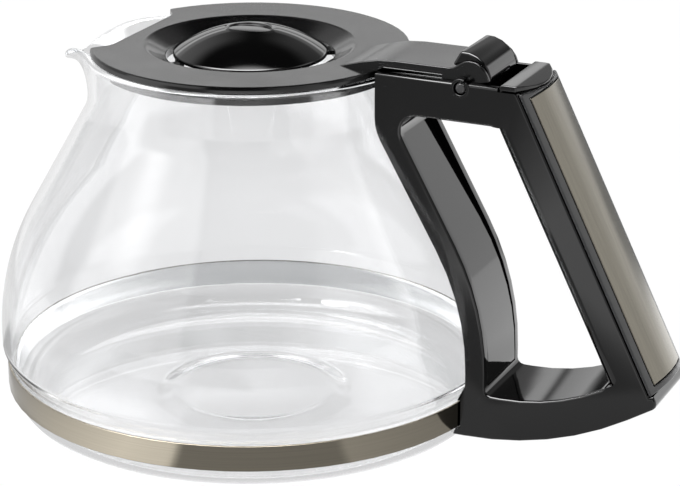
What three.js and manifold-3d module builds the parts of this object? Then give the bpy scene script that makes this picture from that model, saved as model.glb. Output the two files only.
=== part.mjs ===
// Coffee carafe: a glass jug with a metal band, a moulded loop handle and a hinged lid.
// Millimetres, +Z up. The origin is on the axis of the glass, on the surface the jug stands on.
// +X points to the handle, the spout points along -X, and XZ is the plane of symmetry.

import * as THREE from 'three';
import { mergeVertices } from 'three/addons/utils/BufferGeometryUtils.js';
import Module from 'manifold-3d';

const wasm = await Module();
wasm.setup();

const rad = THREE.MathUtils.degToRad;

// Clearances
const FIT = 0.3; // between two mouldings that seat on each other
const GLASS_FIT = 0.4; // between the glass and what clasps it
const PIN_FIT = 0.3; // round the hinge pin and the band screw

// Glass jug
const WALL = 2.2;
const BODY_R = 76.4; // widest outer radius
const BODY_Z = 26; // height where the glass is widest
const SHOULDER_R = 74; // radius of the curve from the widest ring to the cone
const CONE_ANGLE = rad(29.2); // slope of the shoulder from the vertical
const NECK_R = 48;
const NECK_FILLET = 14;
const NECK_H = 11; // straight part of the neck
const HEEL_R = 11; // rounding from the flat foot to the side
const SEAT_DEPTH = 2.4; // waist that the band lies in
const BOSS_R = 29.6; // raised disc in the middle of the floor
const BOSS_SLOPE = 5.2; // width of its sloping edge
const BOSS_H = 1.3;
const SPOUT_REACH = 13.5; // how far the lip is drawn out
const SPOUT_DIP = 9.3; // how far the lip is drawn down
const SPOUT_H = 16; // height of neck that the lip is drawn from
const SPOUT_HALF_ANGLE = rad(44);
const SPOUT_REACH_SHARPNESS = 3.4;
const SPOUT_DIP_SHARPNESS = 9.4;
const SPOUT_REACH_GROWTH = 1.5; // how the reach grows with height
const SPOUT_DIP_GROWTH = 2;

// Metal band and its clamp
const BAND_Z = 9;
const BAND_H = 7.7;
const BAND_T = 0.8;
const TAB_L = 9; // turned-out ends
const TAB_GAP = 7.2; // between the two ends
const SCREW_R = 2;
const SCREW_HEAD_R = 3.6;
const SCREW_HEAD_H = 2.4;
const NUT_SIDE = 7;
const NUT_H = 3.2;

// Handle
const HANDLE_W = 28;
const FRAME_EDGE = 0.8; // rounded edge of the frame
const TOP_BAR = 11.5;
const BAR_T = 5; // bar that follows the glass
const CHEEK = 2.2; // side walls of the hinge well
const WELL_FLOOR = 2.9; // the heel of the lever stops on it
const GRIP_TILT = rad(26.4);
const GRIP_DEPTH = 10.55;
const GRIP_ROUND = 3.6; // rounded finger edges of the grip
const TOP_CORNER_R = 3;
const FOOT_Z = 6; // underside of the foot
const FOOT_ARC = 95;
const FOOT_ANGLE = rad(31.5);
const FOOT_BEND = 28; // from the glass to the bend of the underside
const FOOT_CORNER_R = 2.2;
const FOOT_LIP = 1.4; // lip of the foot under the end of the bezel
const OPENING_FLOOR_Z = 20;
const OPENING_FLOOR_ARC = 62;
const OPENING_FLOOR_ANGLE = rad(29.5);
const OPENING_FLOOR_BEND = 21; // from the bar to the bend of the floor
const OPENING_CORNER_R = 2;
const OPENING_TOP_R = 5;
const HOOK_W = 14; // hook over the rim of the glass
const HOOK_T = 1.3;
const HOOK_DROP = 4;
const WELL_FRONT_T = 2;
const SNAP_SLIT = 0.8; // slit that lets the pin snap into the cheeks
const SNAP_LEAN = rad(35);
const SNAP_RING_R = 2.8;
const SNAP_RING_H = 0.4;
const COVER_T = 1.6; // finger cover
const COVER_W = 21.6;
const COVER_BELOW_TOP = 6.5;
const COVER_ABOVE_FLOOR = 2.2;
const COVER_SINK = 2; // how deep its upper end lies below the sides of the bar
const PRY_R = 2; // notch in one edge of the cover
const PRY_DROP = 4;
const CAP_T = 1.7; // cap on top of the grip
const CAP_DEPTH = 5.4; // from the well to the back of the frame
const CAP_SET = 0.8; // how far the cap is let into the frame
const CAP_BACK_R = 22.5; // back edge seen from above
const CAP_SLOPE_R = 11; // where the top slopes down to the bezel
const CAP_INSET = 0.5;

// Cover and inlay on the outside of the grip
const CROWN_R = 39;
const BEZEL_EDGE = 0.7;
const BEZEL_SHORT = 4; // bezel short of the sharp lower corner of the frame
const BEZEL_RIM = 2.2; // below the plate
const BEZEL_TOP_RIM = 0.9; // above the plate
const BEZEL_KEY_W = 20; // rib that locates the bezel in the frame
const BEZEL_KEY_D = 3;
const PLATE_W = 22;
const PLATE_T = 0.8;

// Lid
const LID_INSET = 0.8; // edge of the lid inside the outside of the neck
const LID_T = 2;
const LID_EDGE_R = 0.8;
const DISH_R = 31;
const DISH_DEPTH = 3.2;
const DISH_T = 1.6;
const SLOT_W = 2.2; // ring gap that the coffee runs in through
const SPOUT_CUT = 36; // from the axis to the straight edge at the spout
const SPOUT_CUT_HALF = 19; // half length of that edge
const SPOUT_CUT_R = 6;
const SPOUT_HORN = 24.8; // half width of the cut-out at the rim
const SKIRT_PLAY = 1.6; // between the skirt and the glass
const SKIRT_T = 1.8;
const SKIRT_DROP = 4;
const FLANGE_T = 1.2;
const DOME_R = 22.8;
const DOME_RISE = 5; // above the lid
const DOME_T = 1.6;
const DOME_SKIRT = 1; // straight lower edge of the dome
const DOME_TAB_W = 5;
const DOME_TAB_T = 1.2;
const DOME_TAB_LAP = 2; // how far the tabs reach under the dish
const DOME_TABS = 4;
const INSET_LONG = 6.8; // plain oval inset on top of the dome
const INSET_SHORT = 4.8;
const INSET_DEPTH = 0.85;
const ARM_RISE = 3.4; // top of the hinge arm above the lid
const ARM_TOE = 0.95; // foot of the ramp above the edge of the dish
const ARM_RAMP_END = 2; // from the outside of the neck inwards to the top of the ramp
const ARM_RAMP_R = 39;
const ARM_DEPTH = 8; // depth of the arm inside the hinge well
const GROOVE = 0.4; // shadow lines along the sides of the arm
const GROOVE_DROPS = [1.9, 2.9];
const PIN_REACH = 24.4; // from the outside of the neck to the hinge axis
const PIN_DROP = 1.4; // hinge axis below the top of the lid
const PIN_R = 1.65;
const PIN_PROUD = 0.2;
const KNUCKLE_R = 5.7;
const LEVER_EDGE = 0.8;
const LEVER_CREST_R = 9.7;
const LEVER_CREST_ANGLE = rad(100);
const LEVER_END_R = 7.8;
const LEVER_END_ANGLE = rad(6);
const LEVER_RUN = 2.1; // length of the thumb ramp ahead of the crest
const LEVER_CLEAR = 1.4; // between the swinging lever and the cap
const SIDE_T = 1.2; // raised sides of the arm, beside the lever
const SIDE_R = 8;
const SIDE_FOOT = 3; // from the hinge axis to the foot of the sweep up to them
const SIDE_SWEEP_R = 4.5;
const SIDE_CREST_ANGLE = rad(86);
const SIDE_BACK_ANGLE = rad(60);
const SIDE_END_ANGLE = rad(14);

// Facets
const ROUND = 64;
const SMALL_ROUND = 20;
const CHORD_ERROR = 0.1; // how far a facet may cut across its arc
const NECK_RINGS = 4; // rings of facets up the straight neck, for the spout
const FILLET_LIMIT = 0.98; // share of a side that its roundings may use
const OVER = 1; // cutters reach this far past what they cut

// Heights and places that follow from the sizes above
const seatR = BODY_R - SEAT_DEPTH;
const seatTop = BAND_Z + BAND_H + GLASS_FIT;
const coneNormal = new THREE.Vector2(Math.cos(CONE_ANGLE), Math.sin(CONE_ANGLE));
const coneReach = coneNormal.dot(new THREE.Vector2(BODY_R - SHOULDER_R, BODY_Z)) + SHOULDER_R;
const coneZ = (r, offset) => (coneReach + offset - r * coneNormal.x) / coneNormal.y;
const coneR = (z, offset) => (coneReach + offset - z * coneNormal.y) / coneNormal.x;
const neckZ = coneZ(NECK_R, 0) + NECK_FILLET * Math.tan(CONE_ANGLE / 2);
const rimZ = neckZ + NECK_H;
const bandTop = BAND_Z + BAND_H;
const bandR = seatR + FIT;
const lidR = NECK_R - LID_INSET;
const lidUnder = rimZ + FIT;
const lidTop = lidUnder + LID_T;
const slotR = DOME_R + SLOT_W;
const skirtR = NECK_R - WALL - SKIRT_PLAY;
const flangeR = (DISH_R + DISH_T + skirtR - SKIRT_T) / 2; // halfway from the dish to the skirt
const armTop = lidTop + ARM_RISE;
const armW = HANDLE_W - 2 * (CHEEK + FIT);
const leverW = armW - 2 * (SIDE_T + FIT);
const pin = new THREE.Vector2(NECK_R + PIN_REACH, lidTop - PIN_DROP);
const handleTop = lidTop;
const openingTop = handleTop - TOP_BAR;
const frameFront = NECK_R - HANDLE_W / 4; // inside the glass, which cuts the frame to fit
const wellFloor = openingTop + WELL_FLOOR;
const wellFront = NECK_R + GLASS_FIT + WELL_FRONT_T;
const wellBack = pin.x + LEVER_CREST_R + LEVER_CLEAR;
const capBottom = handleTop - CAP_SET;
const gripNormal = new THREE.Vector2(Math.cos(GRIP_TILT), Math.sin(GRIP_TILT));
const gripDown = new THREE.Vector2(gripNormal.y, -gripNormal.x);
const gripTop = new THREE.Vector2(wellBack + CAP_DEPTH, handleTop);
const gripBack = gripNormal.dot(gripTop);
const gripInner = gripBack - GRIP_DEPTH;
const bezelBase = gripBack + FIT;
const bezelHalf = HANDLE_W / 2;
const crownCentre = bezelBase + BEZEL_EDGE - Math.sqrt(CROWN_R ** 2 - bezelHalf ** 2);
const crown = crownCentre + CROWN_R;
const bezelTop = capBottom - FIT;
const footBend = new THREE.Vector2(seatR + FOOT_BEND, FOOT_Z);
const footCorner = meetLine(footBend, FOOT_ANGLE, gripBack);
const bezelEnd = gripDown.dot(footCorner) - BEZEL_SHORT;
const plateStart = (gripNormal.y * crown - bezelTop) / gripNormal.x + BEZEL_TOP_RIM;
const plateEnd = bezelEnd - BEZEL_RIM;
const screw = new THREE.Vector2(bandR + BAND_T + TAB_L / 2, BAND_Z + BAND_H / 2);

// Point where a line that rises at an angle meets a plane across the grip.
function meetLine(start, angle, reach) {
  const direction = new THREE.Vector2(Math.cos(angle), Math.sin(angle));
  const length = (reach - gripNormal.dot(start)) / gripNormal.dot(direction);
  return start.clone().addScaledVector(direction, length);
}

// One corner of an outline, with the radius that rounds it.
function corner(x, y, radius = 0) {
  return { point: new THREE.Vector2(x, y), radius };
}

// Length along each side that the rounding at a corner takes up.
function tangentLength(before, { point, radius }, after) {
  const inward = point.clone().sub(before.point).normalize();
  const outward = after.point.clone().sub(point).normalize();
  const turn = Math.acos(THREE.MathUtils.clamp(inward.dot(outward), -1, 1));
  return radius * Math.tan(turn / 2);
}

// Points of an outline whose corners are rounded, each rounding limited by its sides.
function rounded(corners, closed = true) {
  const count = corners.length;
  const at = (i) => corners[(i + count) % count];
  const inside = (i) => closed || (i > 0 && i < count - 1);
  const wanted = corners.map((c, i) => (inside(i) ? tangentLength(at(i - 1), c, at(i + 1)) : 0));
  const room = (i, j) => FILLET_LIMIT * at(i).point.distanceTo(at(j).point);
  const share = (i, j) => room(i, j) / (wanted[(i + count) % count] + wanted[(j + count) % count]);
  const points = [];
  corners.forEach((c, i) => {
    if (!inside(i) || wanted[i] === 0) {
      points.push(c.point.clone());
      return;
    }
    const used = wanted[i] * Math.min(1, share(i, i - 1), share(i, i + 1));
    points.push(...arcAt(at(i - 1).point, c.point, at(i + 1).point, used));
  });
  return points;
}

// Number of facets for an arc.
function arcSteps(radius, turn) {
  const facet = 2 * Math.acos(Math.max(0, 1 - CHORD_ERROR / radius));
  return Math.max(2, Math.ceil(Math.abs(turn) / facet));
}

// Points of the arc that rounds one corner, touching both sides at the given length from it.
function arcAt(before, point, after, length) {
  const inward = point.clone().sub(before).normalize();
  const outward = after.clone().sub(point).normalize();
  const start = point.clone().addScaledVector(inward, -length);
  const turn = Math.atan2(inward.cross(outward), inward.dot(outward));
  const radius = length / Math.tan(Math.abs(turn) / 2);
  const side = new THREE.Vector2(-inward.y, inward.x).multiplyScalar(Math.sign(turn));
  const centre = start.clone().addScaledVector(side, radius);
  const steps = arcSteps(radius, turn);
  const angles = Array.from({ length: steps + 1 }, (_, i) => (turn * i) / steps);
  return angles.map((angle) => start.clone().rotateAround(centre, angle));
}

// Points on an arc about a centre, from one angle to another, with a radius that may change.
function sweep(centre, fromAngle, toAngle, fromRadius, toRadius = fromRadius) {
  const steps = arcSteps(Math.max(fromRadius, toRadius), toAngle - fromAngle);
  return Array.from({ length: steps + 1 }, (_, i) => {
    const angle = THREE.MathUtils.lerp(fromAngle, toAngle, i / steps);
    const radius = THREE.MathUtils.lerp(fromRadius, toRadius, i / steps);
    return new THREE.Vector2(centre.x + radius * Math.cos(angle), centre.y + radius * Math.sin(angle));
  });
}

// Closed geometry with shared vertices and no empty triangles.
function weld(geometry) {
  const bare = geometry.clone();
  bare.deleteAttribute('normal');
  bare.deleteAttribute('uv');
  const merged = mergeVertices(bare);
  const index = merged.index.array;
  const kept = [];
  for (let i = 0; i < index.length; i += 3) {
    const [a, b, c] = index.slice(i, i + 3);
    if (a !== b && b !== c && c !== a) kept.push(a, b, c);
  }
  merged.setIndex(kept);
  return merged;
}

function solid(geometry) {
  const closed = weld(geometry);
  return new wasm.Manifold(new wasm.Mesh({
    numProp: 3,
    vertProperties: new Float32Array(closed.attributes.position.array),
    triVerts: new Uint32Array(closed.index.array),
  }));
}

function toGeometry(manifold) {
  const { vertProperties, triVerts } = manifold.getMesh();
  const geometry = new THREE.BufferGeometry();
  geometry.setAttribute('position', new THREE.BufferAttribute(vertProperties, 3));
  geometry.setIndex(new THREE.BufferAttribute(triVerts, 1));
  return geometry;
}

// Solid of revolution about Z of a closed profile in radius and height.
function turned(points) {
  const ordered = THREE.ShapeUtils.isClockWise(points) ? [...points].reverse() : points;
  return new THREE.LatheGeometry(ordered, ROUND).rotateX(Math.PI / 2);
}

// Ring profiles close on themselves.
function ring(points) {
  return turned([...points, points[0]]);
}

// Outline in X and Z, extruded across the handle and centred on the plane of symmetry.
function sidePrism(points, width, { holes = [], edge = 0 } = {}) {
  const shape = new THREE.Shape(points);
  shape.holes = holes.map((hole) => new THREE.Path(hole));
  const geometry = new THREE.ExtrudeGeometry(shape, {
    depth: width - 2 * edge,
    bevelEnabled: edge > 0,
    bevelSize: edge,
    bevelThickness: edge,
    bevelOffset: -edge,
    bevelSegments: 2,
  });
  return geometry.translate(0, 0, edge - width / 2).rotateX(Math.PI / 2);
}

// Outline in X and Y, extruded upwards from a height.
function planPrism(points, z, height) {
  const shape = new THREE.Shape(points);
  return new THREE.ExtrudeGeometry(shape, { depth: height, bevelEnabled: false }).translate(0, 0, z);
}

// Outline across the grip, in Y and in distance along the grip's normal, extruded down the grip.
function gripPrism(points, start, end) {
  const shape = new THREE.Shape(points);
  const geometry = new THREE.ExtrudeGeometry(shape, { depth: end - start, bevelEnabled: false });
  const basis = new THREE.Matrix4().makeBasis(
    new THREE.Vector3(0, 1, 0),
    new THREE.Vector3(gripNormal.x, 0, gripNormal.y),
    new THREE.Vector3(gripDown.x, 0, gripDown.y),
  );
  return geometry.translate(0, 0, start).applyMatrix4(basis);
}

function block(x0, x1, y0, y1, z0, z1) {
  const box = new THREE.BoxGeometry(x1 - x0, y1 - y0, z1 - z0);
  return box.translate((x0 + x1) / 2, (y0 + y1) / 2, (z0 + z1) / 2);
}

// Round bar along Y.
function crossBar(place, radius, y0, y1) {
  const bar = new THREE.CylinderGeometry(radius, radius, y1 - y0, SMALL_ROUND);
  return bar.translate(place.x, (y0 + y1) / 2, place.y);
}

function mesh(name, geometry, color, roughness, metalness = 0) {
  const shown = geometry.index ? geometry.toNonIndexed() : geometry;
  shown.computeVertexNormals();
  const material = new THREE.MeshStandardMaterial({ color, roughness, metalness });
  const piece = new THREE.Mesh(shown, material);
  piece.name = name;
  return piece;
}

// Corners of the outside of the glass from the heel to the neck, moved outwards by an offset.
function glassCorners(offset, top) {
  return [
    corner(0, -offset),
    corner(seatR + offset, -offset, HEEL_R + offset),
    corner(seatR + offset, seatTop, SEAT_DEPTH),
    corner(BODY_R + offset, seatTop + 2 * SEAT_DEPTH, SEAT_DEPTH),
    corner(BODY_R + offset, coneZ(BODY_R + offset, offset), SHOULDER_R + offset),
    corner(NECK_R + offset, coneZ(NECK_R + offset, offset), NECK_FILLET - offset),
    corner(NECK_R + offset, top),
  ];
}

// Draws the lip of the spout out and down from the neck.
function drawSpout(geometry) {
  const place = geometry.attributes.position;
  const foot = rimZ - SPOUT_H;
  for (let i = 0; i < place.count; i += 1) {
    const [x, y, z] = [place.getX(i), place.getY(i), place.getZ(i)];
    const away = Math.abs(Math.atan2(y, -x)) / SPOUT_HALF_ANGLE;
    const rise = THREE.MathUtils.clamp((z - foot) / SPOUT_H, 0, 1);
    if (away < 1 && rise > 0) {
      const swell = Math.cos((away * Math.PI) / 2);
      const radius = Math.hypot(x, y);
      const reach = radius + SPOUT_REACH * swell ** SPOUT_REACH_SHARPNESS * rise ** SPOUT_REACH_GROWTH;
      place.setX(i, (x * reach) / radius);
      place.setY(i, (y * reach) / radius);
      place.setZ(i, z - SPOUT_DIP * swell ** SPOUT_DIP_SHARPNESS * rise ** SPOUT_DIP_GROWTH);
    }
  }
  return geometry;
}

function glassJug() {
  const rim = new THREE.Vector2(NECK_R - WALL / 2, rimZ - WALL / 2);
  const neckSteps = Array.from({ length: NECK_RINGS - 1 }, (_, i) => (
    THREE.MathUtils.lerp(neckZ, rim.y, (i + 1) / NECK_RINGS)
  ));
  const outside = rounded(glassCorners(0, neckZ), false);
  outside.push(...neckSteps.map((z) => new THREE.Vector2(NECK_R, z)));
  const inside = rounded(glassCorners(-WALL, neckZ), false).slice(1);
  inside.push(...neckSteps.map((z) => new THREE.Vector2(NECK_R - WALL, z)));
  const boss = [
    new THREE.Vector2(BOSS_R, WALL),
    new THREE.Vector2(BOSS_R - BOSS_SLOPE, WALL + BOSS_H),
    new THREE.Vector2(0, WALL + BOSS_H),
  ];
  const lip = sweep(rim, 0, Math.PI, WALL / 2);
  const wall = turned([...outside, ...lip, ...inside.reverse(), ...boss]);
  return mesh('glass_jug', drawSpout(wall), 0xe8ecec, 0.05);
}

// The strap runs round the waist of the glass, and both ends turn out into the foot of the handle.
function baseBand() {
  const outer = bandR + BAND_T;
  const inside = TAB_GAP / 2;
  const outside = inside + BAND_T;
  const tip = outer + TAB_L;
  const innerArc = Math.asin(inside / bandR);
  const outerArc = Math.asin(outside / outer);
  const centre = new THREE.Vector2();
  const around = (radius, from, to) => {
    const steps = Array.from({ length: ROUND + 1 }, (_, i) => THREE.MathUtils.lerp(from, to, i / ROUND));
    return steps.map((angle) => new THREE.Vector2(radius, 0).rotateAround(centre, angle));
  };
  const outline = [
    ...around(outer, outerArc, 2 * Math.PI - outerArc),
    new THREE.Vector2(tip, -outside),
    new THREE.Vector2(tip, -inside),
    ...around(bandR, 2 * Math.PI - innerArc, innerArc),
    new THREE.Vector2(tip, inside),
    new THREE.Vector2(tip, outside),
  ];
  const strap = solid(planPrism(outline, BAND_Z, BAND_H));
  const hole = solid(crossBar(screw, SCREW_R + PIN_FIT, -outside - OVER, outside + OVER));
  return mesh('base_band', toGeometry(strap.subtract(hole)), 0xb9ac97, 0.25, 1);
}

function bandScrew() {
  const seat = TAB_GAP / 2 + BAND_T + FIT;
  const profile = [
    new THREE.Vector2(0, -seat - SCREW_HEAD_H),
    new THREE.Vector2(SCREW_HEAD_R, -seat - SCREW_HEAD_H),
    new THREE.Vector2(SCREW_HEAD_R, -seat),
    new THREE.Vector2(SCREW_R, -seat),
    new THREE.Vector2(SCREW_R, seat + NUT_H + FIT),
    new THREE.Vector2(0, seat + NUT_H + FIT),
  ];
  const geometry = new THREE.LatheGeometry(profile, SMALL_ROUND).translate(screw.x, 0, screw.y);
  return mesh('band_screw', weld(geometry), 0x9a9a98, 0.35, 1);
}

function bandNut() {
  const seat = TAB_GAP / 2 + BAND_T + FIT;
  const half = NUT_SIDE / 2;
  const body = block(screw.x - half, screw.x + half, seat, seat + NUT_H, screw.y - half, screw.y + half);
  const hole = crossBar(screw, SCREW_R + PIN_FIT, seat - OVER, seat + NUT_H + OVER);
  return mesh('band_nut', toGeometry(solid(body).subtract(solid(hole))), 0x9a9a98, 0.35, 1);
}

// Finger opening: it follows the glass on one side and a plane across the grip on the other.
function openingOutline(gripSide) {
  const barX = BODY_R + BAR_T;
  const bend = new THREE.Vector2(barX + OPENING_FLOOR_BEND, OPENING_FLOOR_Z);
  const low = meetLine(bend, OPENING_FLOOR_ANGLE, gripSide);
  const high = (gripSide - gripNormal.y * openingTop) / gripNormal.x;
  return rounded([
    corner(coneR(openingTop, BAR_T), openingTop, OPENING_TOP_R),
    corner(barX, coneZ(barX, BAR_T), SHOULDER_R + BAR_T),
    corner(barX, OPENING_FLOOR_Z, OPENING_CORNER_R),
    corner(bend.x, bend.y, OPENING_FLOOR_ARC),
    corner(low.x, low.y, OPENING_CORNER_R),
    corner(high, openingTop, OPENING_CORNER_R),
  ]);
}

// The back of the frame runs down the grip, and a lip of the foot reaches out under the end of the bezel.
function frameOutline() {
  const under = gripDown.clone().multiplyScalar(bezelEnd + FIT);
  const seat = under.clone().addScaledVector(gripNormal, gripBack);
  const lip = under.clone().addScaledVector(gripNormal, gripBack + FOOT_LIP);
  const tip = meetLine(footBend, FOOT_ANGLE, gripBack + FOOT_LIP);
  return rounded([
    corner(frameFront, handleTop),
    corner(gripTop.x, gripTop.y, TOP_CORNER_R),
    corner(seat.x, seat.y),
    corner(lip.x, lip.y),
    corner(tip.x, tip.y, FOOT_CORNER_R),
    corner(footBend.x, footBend.y, FOOT_ARC),
    corner(seatR - HEEL_R, FOOT_Z),
  ]);
}

// Curved strip along the bar, between two offsets from the glass that may grow less towards the top.
function barStrip(inner, outer, low, high, width, sinks = [0, 0]) {
  const line = (offset, sink) => rounded([
    corner(BODY_R + offset, low),
    corner(BODY_R + offset, coneZ(BODY_R + offset, offset), SHOULDER_R + offset),
    corner(coneR(high, offset - sink), high),
  ], false);
  return sidePrism([...line(outer, sinks[1]), ...line(inner, sinks[0]).reverse()], width);
}

const coverLow = OPENING_FLOOR_Z + COVER_ABOVE_FLOOR;
const coverHigh = openingTop - COVER_BELOW_TOP;

// Hook that laps over the rim of the glass under the hinge arm.
function rimHook() {
  const half = HOOK_W / 2;
  const lipOut = Math.sqrt((NECK_R - WALL) ** 2 - half ** 2) - GLASS_FIT;
  const under = rimZ + FIT;
  const over = block(lipOut - HOOK_T, wellFront, -half, half, under, under + HOOK_T);
  const lip = block(lipOut - HOOK_T, lipOut, -half, half, rimZ - HOOK_DROP, under + HOOK_T);
  return solid(over).add(solid(lip));
}

// Ring round each end of the hinge pin, and the slit through which the pin snaps in.
function snapSeats(frame) {
  let seated = frame;
  for (const side of [-1, 1]) {
    const face = (side * HANDLE_W) / 2;
    const proud = face + side * SNAP_RING_H;
    const inner = side * (HANDLE_W / 2 - CHEEK);
    const boss = crossBar(pin, SNAP_RING_R, Math.min(inner, proud), Math.max(inner, proud));
    seated = seated.add(solid(boss));
  }
  const reach = HANDLE_W / 2 + SNAP_RING_H + OVER;
  const slit = block(-SNAP_SLIT / 2, SNAP_SLIT / 2, -reach, reach, 0, PIN_DROP + SNAP_RING_R + OVER);
  slit.rotateY(SNAP_LEAN).translate(pin.x, 0, pin.y);
  return seated.subtract(solid(crossBar(pin, PIN_R + PIN_FIT, -reach, reach))).subtract(solid(slit));
}

// Rounds the two long edges that the fingers close round, between the top and the floor of the opening.
function gripRounding() {
  const half = HANDLE_W / 2;
  const room = solid(sidePrism(openingOutline(gripInner + GRIP_ROUND), HANDLE_W + 2 * OVER));
  return [-1, 1].map((side) => {
    const centre = new THREE.Vector2(side * (half - GRIP_ROUND), gripInner + GRIP_ROUND);
    const outline = [
      new THREE.Vector2(side * (half - GRIP_ROUND), gripInner - OVER),
      new THREE.Vector2(side * (half + OVER), gripInner - OVER),
      new THREE.Vector2(side * (half + OVER), gripInner + GRIP_ROUND),
      ...sweep(centre, side > 0 ? 0 : Math.PI, side > 0 ? -Math.PI / 2 : 1.5 * Math.PI, GRIP_ROUND),
    ];
    return solid(gripPrism(outline, plateStart, bezelEnd)).intersect(room);
  });
}

function handleFrame() {
  const half = HANDLE_W / 2;
  const wellHalf = half - CHEEK;
  const keyHalf = BEZEL_KEY_W / 2 + FIT;
  const tabReach = bandR + BAND_T + TAB_L + FIT + OVER;
  const tabHalf = TAB_GAP / 2 + BAND_T + 2 * FIT + Math.max(SCREW_HEAD_H, NUT_H) + OVER;
  const glass = rounded(glassCorners(GLASS_FIT, handleTop + OVER), false);
  glass.push(new THREE.Vector2(0, handleTop + OVER));
  const bandRing = [
    new THREE.Vector2(0, BAND_Z - GLASS_FIT),
    new THREE.Vector2(bandR + BAND_T + GLASS_FIT, BAND_Z - GLASS_FIT),
    new THREE.Vector2(bandR + BAND_T + GLASS_FIT, bandTop + GLASS_FIT),
    new THREE.Vector2(0, bandTop + GLASS_FIT),
  ];
  const keySlot = [
    new THREE.Vector2(-keyHalf, bezelBase - BEZEL_KEY_D - FIT),
    new THREE.Vector2(keyHalf, bezelBase - BEZEL_KEY_D - FIT),
    new THREE.Vector2(keyHalf, gripBack + OVER),
    new THREE.Vector2(-keyHalf, gripBack + OVER),
  ];
  const recessIn = BAR_T - COVER_T - FIT;
  const sinks = [COVER_SINK, 0];
  const recess = barStrip(recessIn, BAR_T + OVER, coverLow - FIT, coverHigh + FIT, COVER_W + 2 * FIT, sinks);
  const cuts = [
    turned(glass),
    turned(bandRing),
    block(wellFront, wellBack, -wellHalf, wellHalf, wellFloor, handleTop + OVER),
    block(frameFront, wellFront + OVER, -wellHalf, wellHalf, rimZ + FIT + HOOK_T, handleTop + OVER),
    block(wellBack, gripTop.x + OVER, -HANDLE_W, HANDLE_W, bezelTop, handleTop + OVER),
    block(seatR, tabReach, -tabHalf, tabHalf, FOOT_Z - OVER, bandTop + GLASS_FIT),
    gripPrism(keySlot, plateStart - FIT, plateEnd + FIT),
    recess,
  ];
  const holes = [openingOutline(gripInner)];
  const loop = sidePrism(frameOutline(), HANDLE_W, { holes, edge: FRAME_EDGE });
  const shell = cuts.reduce((body, cut) => body.subtract(solid(cut)), solid(loop));
  const eased = gripRounding().reduce((body, cut) => body.subtract(cut), shell);
  return mesh('handle_frame', toGeometry(snapSeats(eased).add(rimHook())), 0x1b1b1c, 0.18);
}

function fingerCover() {
  const sinks = [COVER_SINK, COVER_SINK];
  const panel = solid(barStrip(BAR_T - COVER_T, BAR_T, coverLow, coverHigh, COVER_W, sinks));
  const z = coverHigh - PRY_DROP;
  const x = coneR(z, BAR_T);
  const notch = new THREE.CylinderGeometry(PRY_R, PRY_R, 2 * HANDLE_W, SMALL_ROUND).rotateZ(Math.PI / 2);
  const notched = panel.subtract(solid(notch.translate(x, -COVER_W / 2, z)));
  return mesh('finger_cover', toGeometry(notched), 0x232324, 0.3);
}

// The cap closes the top of the grip, with its back edge rounded like the crown of the bezel.
function handleCap() {
  const half = HANDLE_W / 2 - CAP_INSET;
  const front = wellBack + FIT;
  const back = (crown - gripNormal.y * capBottom) / gripNormal.x;
  const top = capBottom + CAP_T;
  const side = rounded([
    corner(front, capBottom),
    corner(front, top, CAP_T / 2),
    corner(gripTop.x, top, CAP_SLOPE_R),
    corner(back, capBottom + CAP_T / 3),
    corner(back, capBottom),
  ]);
  const centre = new THREE.Vector2(back - CAP_BACK_R, 0);
  const spread = Math.asin(half / CAP_BACK_R);
  const plan = [
    new THREE.Vector2(front - OVER, -half),
    ...sweep(centre, -spread, spread, CAP_BACK_R),
    new THREE.Vector2(front - OVER, half),
  ];
  const around = solid(planPrism(plan, capBottom - OVER, CAP_T + 2 * OVER));
  const cap = solid(sidePrism(side, HANDLE_W)).intersect(around);
  return mesh('handle_cap', toGeometry(cap), 0x1b1b1c, 0.18);
}

// Band of the crowned outside of the grip, between two depths below the crown.
function crownBand(halfWidth, deep, proud) {
  const centre = new THREE.Vector2(0, crownCentre);
  const outer = CROWN_R + proud;
  const inner = CROWN_R - deep;
  const spread = (radius) => Math.asin(halfWidth / radius);
  const middle = Math.PI / 2;
  return [
    ...sweep(centre, middle - spread(outer), middle + spread(outer), outer),
    ...sweep(centre, middle + spread(inner), middle - spread(inner), inner),
  ];
}

function gripBezel() {
  const centre = new THREE.Vector2(0, crownCentre);
  const spread = Math.asin(bezelHalf / CROWN_R);
  const keyHalf = BEZEL_KEY_W / 2;
  const start = plateStart - CROWN_R / 2;
  const cover = [
    new THREE.Vector2(-bezelHalf, bezelBase),
    new THREE.Vector2(bezelHalf, bezelBase),
    ...sweep(centre, Math.PI / 2 - spread, Math.PI / 2 + spread, CROWN_R),
  ];
  const key = [
    new THREE.Vector2(-keyHalf, bezelBase - BEZEL_KEY_D),
    new THREE.Vector2(keyHalf, bezelBase - BEZEL_KEY_D),
    new THREE.Vector2(keyHalf, bezelBase + BEZEL_EDGE),
    new THREE.Vector2(-keyHalf, bezelBase + BEZEL_EDGE),
  ];
  const pocket = crownBand(PLATE_W / 2 + FIT, PLATE_T + FIT, OVER);
  const reach = footCorner.x + CROWN_R;
  const above = block(0, reach, -HANDLE_W, HANDLE_W, bezelTop, bezelTop + CROWN_R);
  const body = solid(gripPrism(cover, start, bezelEnd)).subtract(solid(above));
  const keyed = body.add(solid(gripPrism(key, plateStart, plateEnd)));
  const inlaid = keyed.subtract(solid(gripPrism(pocket, plateStart - FIT, plateEnd + FIT)));
  return mesh('grip_bezel', toGeometry(inlaid), 0x4a4a4c, 0.4);
}

function gripPlate() {
  const outline = crownBand(PLATE_W / 2, PLATE_T, 0);
  return mesh('grip_plate', weld(gripPrism(outline, plateStart, plateEnd)), 0xa29d8e, 0.35, 1);
}

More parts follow.
